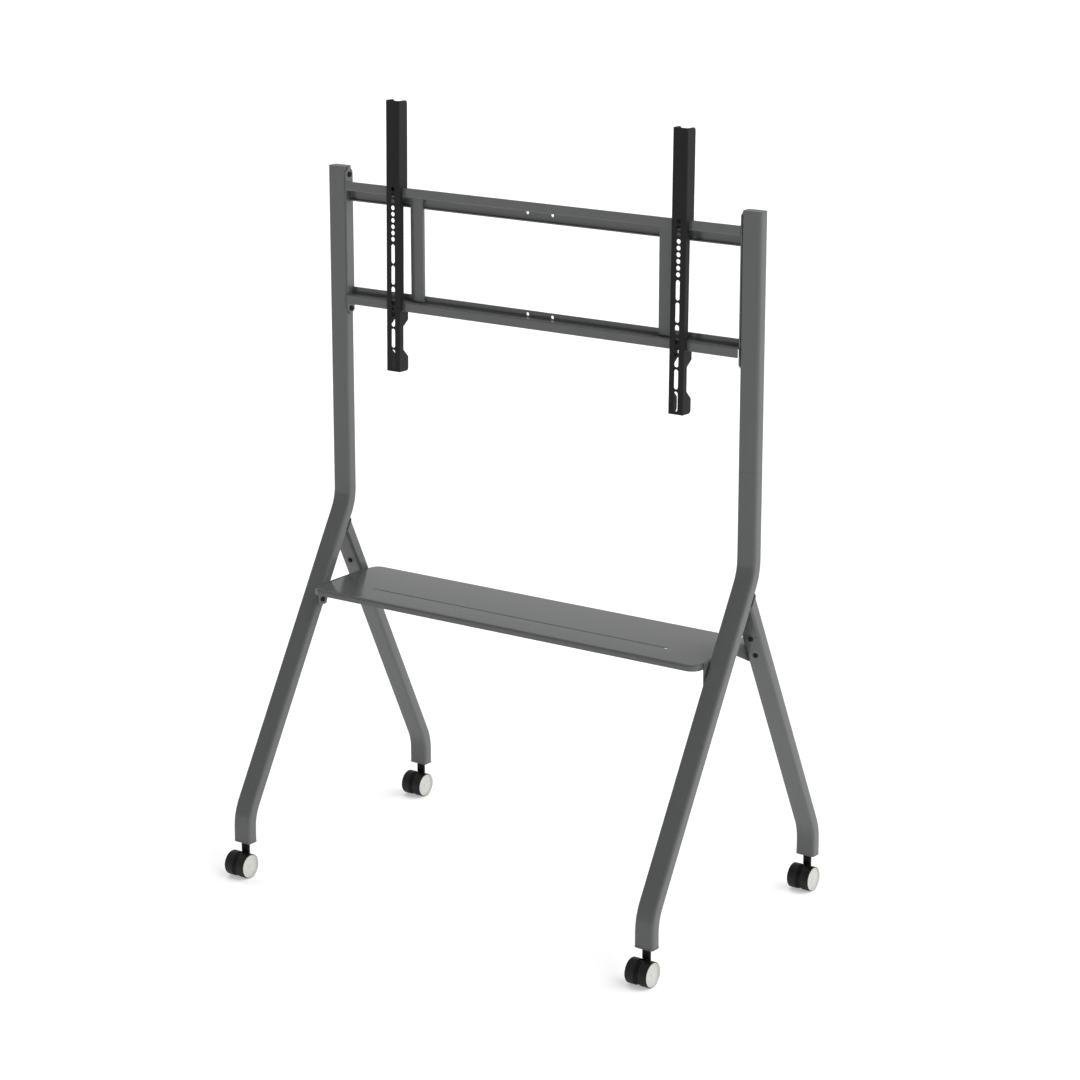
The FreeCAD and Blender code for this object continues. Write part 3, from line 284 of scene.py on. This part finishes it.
def black_oxide(name, colour):
    """Black oxide on rolled steel: a thin dark skin with an oily, uneven sheen."""
    material, tree, shader, place = start_material(name, **{"Metallic": 0.7})
    stain = noise(tree, place, STAIN_SIZE)
    link_surface(
        tree, shader, tinted(tree, colour, stain, 0.2), spread(tree, stain, 0.3, 0.42))
    return material


def drawn_metal(name, colour):
    """Zinc plate or bare drawn steel: pale, slightly blue metal with a fine drawn grain."""
    material, tree, shader, place = start_material(name, **{"Metallic": 1.0})
    grain = noise(tree, place, DRAWN_SIZE, 4.0)
    link_surface(
        tree, shader, tinted(tree, colour, grain, 0.08), spread(tree, grain, 0.25, 0.38))
    return material


def make_materials():
    """The stand's finishes, by the material slots of the record."""
    colours = finish()
    return {
        "frame_paint": powder_coat(
            "Dark grey powder coat on steel", colours.frame_colour,
            roughness=0.16, depth=0.2, specular=0.5),
        "arm_paint": powder_coat(
            "Black satin powder coat on steel", colours.arm_colour,
            roughness=0.5, depth=0.4, specular=0.1),
        "end_plastic": moulded_plastic(
            "Moulded grey polyethylene", colours.plug_colour, roughness=0.4, depth=0.2),
        "caster_plastic": moulded_plastic(
            "Moulded black nylon", colours.caster_colour,
            roughness=0.42, depth=0.3, specular=0.15),
        "hub_cover_plastic": moulded_plastic(
            "Moulded pale grey ABS", colours.cover_colour, roughness=0.3, depth=0.08),
        "wheel_tread": polyurethane("Cast black polyurethane", colours.tread_colour),
        "black_screws": black_oxide("Black oxide steel", colours.screw_colour),
        "zinc_steel": drawn_metal("Bright zinc plated steel", hex_colour("#C3C6C9")),
        "sleeve_steel": drawn_metal("Drawn steel sleeve", hex_colour("#9A9C9E")),
    }


MATERIALS = {}


def material_for(slot):
    """The material of one slot, made when it is first asked for."""
    if not MATERIALS:
        MATERIALS.update(make_materials())
    return MATERIALS[slot]


def paint_node(node):
    """Give a CAD node that stays its finish."""
    mesh = NODES[node].data
    mesh.materials.clear()
    mesh.materials.append(material_for(SLOT_OF[node]))


def link_piece(name, mesh, body, slot):
    """Make an object of a mesh, finish it and let it ride on a body."""
    piece = bpy.data.objects.new(name, mesh)
    bpy.context.scene.collection.objects.link(piece)
    mesh.materials.clear()
    mesh.materials.append(material_for(slot))
    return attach(piece, body)


def whole_faces(node):
    """A CAD node's mesh, to work on, with each flat face in one piece."""
    work = bmesh.new()
    work.from_mesh(NODES[node].data)
    bmesh.ops.remove_doubles(work, verts=work.verts, dist=SAME_POINT)
    bmesh.ops.dissolve_limit(
        work, angle_limit=FLAT_ANGLE, verts=work.verts, edges=work.edges)
    return work


def rounded_copy(node, radius):
    """Copy a CAD node, round its edges, and let the copy stand for it."""
    mesh = NODES[node].data.copy()
    work = whole_faces(node)
    work.to_mesh(mesh)
    work.free()
    mesh.shade_smooth()
    mesh.set_sharp_from_angle(angle=EDGE_ANGLE)
    piece = link_piece(f"{node}_finished", mesh, BODY_OF[node], SLOT_OF[node])
    bevel = piece.modifiers.new("Rounded edges", "BEVEL")
    bevel.width = radius
    bevel.segments = EDGE_STEPS
    bevel.limit_method = "ANGLE"
    bevel.angle_limit = EDGE_ANGLE
    bevel.harden_normals = True
    graph = bpy.context.evaluated_depsgraph_get()
    finished = bpy.data.meshes.new_from_object(piece.evaluated_get(graph))
    piece.modifiers.clear()
    piece.data = finished
    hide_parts(node)


def joined(runs):
    """Join runs of points end to end into lines."""
    lines = []
    while runs:
        line = runs.pop()
        while True:
            for run in runs:
                ways = [way for way in (run, run[::-1])
                        if (way[0] - line[-1]).length < RUN_TOUCH]
                if ways:
                    line += ways[0][1:]
                    break
                ways = [way for way in (run, run[::-1])
                        if (way[-1] - line[0]).length < RUN_TOUCH]
                if ways:
                    line = ways[0][:-1] + line
                    break
            else:
                break
            runs.remove(run)
        lines.append(line)
    return lines


def seams(node, other, reach):
    """Lines where the edges of a node lie against another node, which is where a weld runs."""
    work, wall = whole_faces(node), whole_faces(other)
    surface = BVHTree.FromBMesh(wall)
    runs = []
    for edge in work.edges:
        if edge.calc_face_angle(0) < SEAM_ANGLE:
            continue
        start, end = (vert.co for vert in edge.verts)
        count = max(1, round((end - start).length / SEAM_STEP))
        run = []
        for i in range(count + 1):
            point = start.lerp(end, i / count)
            if surface.find_nearest(point, reach)[0] is None:
                runs.append(run)
                run = []
            else:
                run.append(point)
        runs.append(run)
    work.free()
    wall.free()
    return joined([run for run in runs if len(run) > 1])


def evenly(line, step):
    """Points spaced evenly along a line."""
    total = sum((b - a).length for a, b in zip(line, line[1:]))
    gap = total / max(FEWEST_RINGS, round(total / step))
    points, left = [line[0].copy()], gap
    for a, b in zip(line, line[1:]):
        length = (b - a).length
        done = 0.0
        while length - done > left:
            done += left
            left = gap
            points.append(a.lerp(b, done / length))
        left -= length - done
    if (points[-1] - line[-1]).length > gap / 2:
        points.append(line[-1].copy())
    return points


def lay_bead(work, line, radius):
    """Lay one weld bead along a line: a round bead with the ripples of its puddles."""
    step = edges().weld_ripple / RINGS_PER_RIPPLE
    points = evenly(line, step)
    closed = (points[0] - points[-1]).length < step
    if closed:
        points.pop()
    count = len(points)
    if count < FEWEST_RINGS:
        return
    tangents = []
    for i in range(count):
        before = points[i - 1] if closed or i else points[0]
        after = points[(i + 1) % count] if closed or i < count - 1 else points[-1]
        tangents.append((after - before).normalized())
    side = tangents[0].orthogonal().normalized()
    rings = []
    for i, (point, tangent) in enumerate(zip(points, tangents)):
        side = (side - tangent * side.dot(tangent)).normalized()
        swell = radius * (BEAD_SIZE + BEAD_SWELL * math.cos(math.tau * i / RINGS_PER_RIPPLE))
        spokes = [Quaternion(tangent, math.tau * k / BEAD_SPOKES) @ side
                  for k in range(BEAD_SPOKES)]
        rings.append([work.verts.new(point + spoke * swell) for spoke in spokes])
    for i in range(count if closed else count - 1):
        ring, following = rings[i], rings[(i + 1) % count]
        for k in range(BEAD_SPOKES):
            ahead = (k + 1) % BEAD_SPOKES
            work.faces.new((ring[k], ring[ahead], following[ahead], following[k]))
    if not closed:
        work.faces.new(rings[0][::-1])
        work.faces.new(rings[-1])


def weld(node, other, radius, reach=SEAM_REACH, widest=False):
    """Weld a node to another one along the lines where they meet, or along the widest of them."""
    lines = seams(node, other, reach)
    if widest:
        lines = [max(lines, key=lambda line: max(p.x for p in line) - min(p.x for p in line))]
    work = bmesh.new()
    for line in lines:
        lay_bead(work, line, radius)
    bmesh.ops.recalc_face_normals(work, faces=work.faces)
    mesh = bpy.data.meshes.new(f"{node}_weld")
    work.to_mesh(mesh)
    work.free()
    mesh.shade_smooth()
    link_piece(f"{node}_weld_to_{other}", mesh, BODY_OF[node], SLOT_OF[node])


class StandOperator:
    """What the operators have in common."""

    bl_options = {"REGISTER", "UNDO"}


class TVSTAND_OT_tubes(StandOperator, bpy.types.Operator):
    """Finish the posts and the legs"""

    bl_idname = "tv_stand.tubes"
    bl_label = "Posts and Legs"

    def execute(self, context):
        for side in SIDES:
            for piece in ("upper_post", "front_leg", "leg_stub", "rear_leg"):
                rounded_copy(f"{side}_{piece}", edges().tube_edge)
            weld(f"{side}_leg_stub", f"{side}_front_leg", edges().tube_weld, STUB_REACH,
                 widest=True)
        for node in ("post_sleeves", "leg_sleeves"):
            paint_node(node)
        return {"FINISHED"}


class TVSTAND_OT_tube_ends(StandOperator, bpy.types.Operator):
    """Finish the post caps and the foot plugs"""

    bl_idname = "tv_stand.tube_ends"
    bl_label = "Caps and Plugs"

    def execute(self, context):
        for node in ("post_caps", "foot_plugs"):
            rounded_copy(node, edges().plastic_edge)
        return {"FINISHED"}


class TVSTAND_OT_rails(StandOperator, bpy.types.Operator):
    """Finish the rails, uprights and end plates"""

    bl_idname = "tv_stand.rails"
    bl_label = "Rails and Uprights"

    def execute(self, context):
        nodes = [*RAILS]
        for side in SIDES:
            nodes += [f"{side}_upright", f"{side}_end_plate"]
        for node in nodes:
            rounded_copy(node, edges().sheet_edge)
        for side in SIDES:
            for rail in RAILS:
                weld(rail, f"{side}_end_plate", edges().sheet_weld)
                weld(f"{side}_upright", rail, edges().sheet_weld)
        return {"FINISHED"}


class TVSTAND_OT_arms(StandOperator, bpy.types.Operator):
    """Finish the mounting arms with their locks"""

    bl_idname = "tv_stand.arms"
    bl_label = "Mounting Arms"

    def execute(self, context):
        for side in SIDES:
            for piece in ("arm", "lock_bar"):
                rounded_copy(f"{side}_{piece}", edges().sheet_edge)
            rounded_copy(f"{side}_lock_screw", edges().screw_edge)
        return {"FINISHED"}


class TVSTAND_OT_shelf(StandOperator, bpy.types.Operator):
    """Finish the shelf and its brackets"""

    bl_idname = "tv_stand.shelf"
    bl_label = "Shelf and Brackets"

    def execute(self, context):
        for node in ("shelf", "left_shelf_bracket", "right_shelf_bracket"):
            rounded_copy(node, edges().sheet_edge)
        for side in SIDES:
            weld("shelf", f"{side}_shelf_bracket", edges().sheet_weld)
        return {"FINISHED"}


class TVSTAND_OT_screws(StandOperator, bpy.types.Operator):
    """Finish the screws and their threaded inserts"""

    bl_idname = "tv_stand.screws"
    bl_label = "Screws"

    def execute(self, context):
        for node in ("frame_bolts", "leg_bolts", "shelf_bolts"):
            rounded_copy(node, edges().screw_edge)
        paint_node("thread_inserts")
        return {"FINISHED"}


class TVSTAND_OT_casters(StandOperator, bpy.types.Operator):
    """Finish the casters' hoods, wheels, covers and stems"""

    bl_idname = "tv_stand.casters"
    bl_label = "Casters"

    def execute(self, context):
        for name in CASTERS:
            rounded_copy(f"{name}_hood", edges().plastic_edge)
            paint_node(f"{name}_axle")
            for side in SIDES:
                rounded_copy(f"{name}_wheel_{side}", edges().wheel_edge)
                rounded_copy(f"{name}_hub_cover_{side}", edges().plastic_edge)
        paint_node("caster_stems")
        return {"FINISHED"}


def by_ray(tree, plain, mirrored, seen):
    """A strength for light that spreads, for reflections and glass, and for the camera."""
    path = add_node(tree, "ShaderNodeLightPath")
    polished = add_node(tree, "ShaderNodeMath", {
        0: path.outputs["Is Glossy Ray"], 1: path.outputs["Is Transmission Ray"]},
        operation="MAXIMUM")
    first = add_node(tree, "ShaderNodeMix", {
        "Factor": polished.outputs[0], "A": plain, "B": mirrored}, data_type="FLOAT")
    return add_node(tree, "ShaderNodeMix", {
        "Factor": path.outputs["Is Camera Ray"], "A": first.outputs["Result"], "B": seen},
        data_type="FLOAT").outputs["Result"]


def white_world(fill, mirrored):
    """White to the camera, pale in reflections, and an even grey light for everything else."""
    world = bpy.data.worlds.new("Studio white")
    bpy.context.scene.world = world
    world.use_nodes = True
    tree = world.node_tree
    tree.nodes.clear()
    white = add_node(tree, "ShaderNodeBackground", {
        "Color": WHITE, "Strength": by_ray(tree, fill, mirrored, 1.0)})
    add_node(tree, "ShaderNodeOutputWorld", {"Surface": white.outputs[0]})


def pale_floor(size):
    """A wide floor of matt white paper that keeps the stand's shadow."""
    half = size / 2
    mesh = bpy.data.meshes.new("studio_floor")
    corners = [(-half, -half, 0), (half, -half, 0), (half, half, 0), (-half, half, 0)]
    mesh.from_pydata(corners, [], [(0, 1, 2, 3)])
    floor = bpy.data.objects.new("studio_floor", mesh)
    bpy.context.scene.collection.objects.link(floor)
    material = bpy.data.materials.new("Matt white paper")
    material.use_nodes = True
    tree = material.node_tree
    tree.nodes.clear()
    paper = add_node(tree, "ShaderNodeBsdfDiffuse", {"Color": hex_colour(PAPER)})
    glow = add_node(tree, "ShaderNodeEmission", {
        "Color": WHITE, "Strength": by_ray(tree, *PAPER_GLOW)})
    both = add_node(tree, "ShaderNodeAddShader", {0: paper.outputs[0], 1: glow.outputs[0]})
    add_node(tree, "ShaderNodeOutputMaterial", {"Surface": both.outputs[0]})
    mesh.materials.append(material)


def soft_lamp(name, strength, spread_degrees, towards):
    """A very wide lamp far away, which itself isn't seen in reflections."""
    lamp = bpy.data.lights.new(name, "SUN")
    lamp.energy = strength
    lamp.angle = math.radians(spread_degrees)
    far = bpy.data.objects.new(name, lamp)
    far.rotation_euler = Vector(towards).to_track_quat("-Z", "Y").to_euler()
    far.visible_glossy = False
    bpy.context.scene.collection.objects.link(far)


class TVSTAND_OT_stage(StandOperator, bpy.types.Operator):
    """Set up the camera, the lamps, the white world and the pale floor"""

    bl_idname = "tv_stand.stage"
    bl_label = "Studio"

    def execute(self, context):
        studio = context.scene.stand_studio
        context.scene.view_settings.view_transform = "Standard"
        camera = bpy.data.cameras.new("Studio camera")
        camera.lens = studio.lens
        camera.sensor_fit = "HORIZONTAL"
        camera.sensor_width = SENSOR_WIDTH
        camera.clip_end = VIEW_DISTANCE
        eye = bpy.data.objects.new("Studio camera", camera)
        eye.location = studio.eye
        eye.rotation_euler = (math.pi / 2 - studio.elevation, 0, studio.azimuth)
        context.scene.collection.objects.link(eye)
        context.scene.camera = eye
        soft_lamp("Key lamp", studio.key, KEY_SPREAD, KEY_TOWARDS)
        soft_lamp("Rim lamp", studio.rim, RIM_SPREAD, RIM_TOWARDS)
        white_world(studio.fill, studio.mirrored)
        pale_floor(studio.floor_size)
        return {"FINISHED"}


OPERATORS = (
    TVSTAND_OT_tubes, TVSTAND_OT_tube_ends, TVSTAND_OT_rails, TVSTAND_OT_arms, TVSTAND_OT_shelf,
    TVSTAND_OT_screws, TVSTAND_OT_casters, TVSTAND_OT_stage,
)


class TVSTAND_PT_panel(bpy.types.Panel):
    """Lists the stand's settings and its pieces"""

    bl_label = "TV Stand"
    bl_idname = "TVSTAND_PT_panel"
    bl_space_type = "VIEW_3D"
    bl_region_type = "UI"
    bl_category = "TV Stand"

    def draw(self, context):
        for group in (context.scene.stand_finish, context.scene.stand_edges,
                      context.scene.stand_studio):
            box = self.layout.box()
            for key in group.__annotations__:
                box.prop(group, key)
        for operator in OPERATORS:
            self.layout.operator(operator.bl_idname)


CLASSES = (StandFinish, StandEdges, StandStudio, *OPERATORS, TVSTAND_PT_panel)


def register():
    for item in CLASSES:
        bpy.utils.register_class(item)
    bpy.types.Scene.stand_finish = bpy.props.PointerProperty(type=StandFinish)
    bpy.types.Scene.stand_edges = bpy.props.PointerProperty(type=StandEdges)
    bpy.types.Scene.stand_studio = bpy.props.PointerProperty(type=StandStudio)


def unregister():
    del bpy.types.Scene.stand_studio
    del bpy.types.Scene.stand_edges
    del bpy.types.Scene.stand_finish
    for item in reversed(CLASSES):
        bpy.utils.unregister_class(item)


def main():
    """Build everything in order."""
    register()
    for operator in OPERATORS:
        group, name = operator.bl_idname.split(".")
        getattr(getattr(bpy.ops, group), name)()


if __name__ == "__main__":
    main()
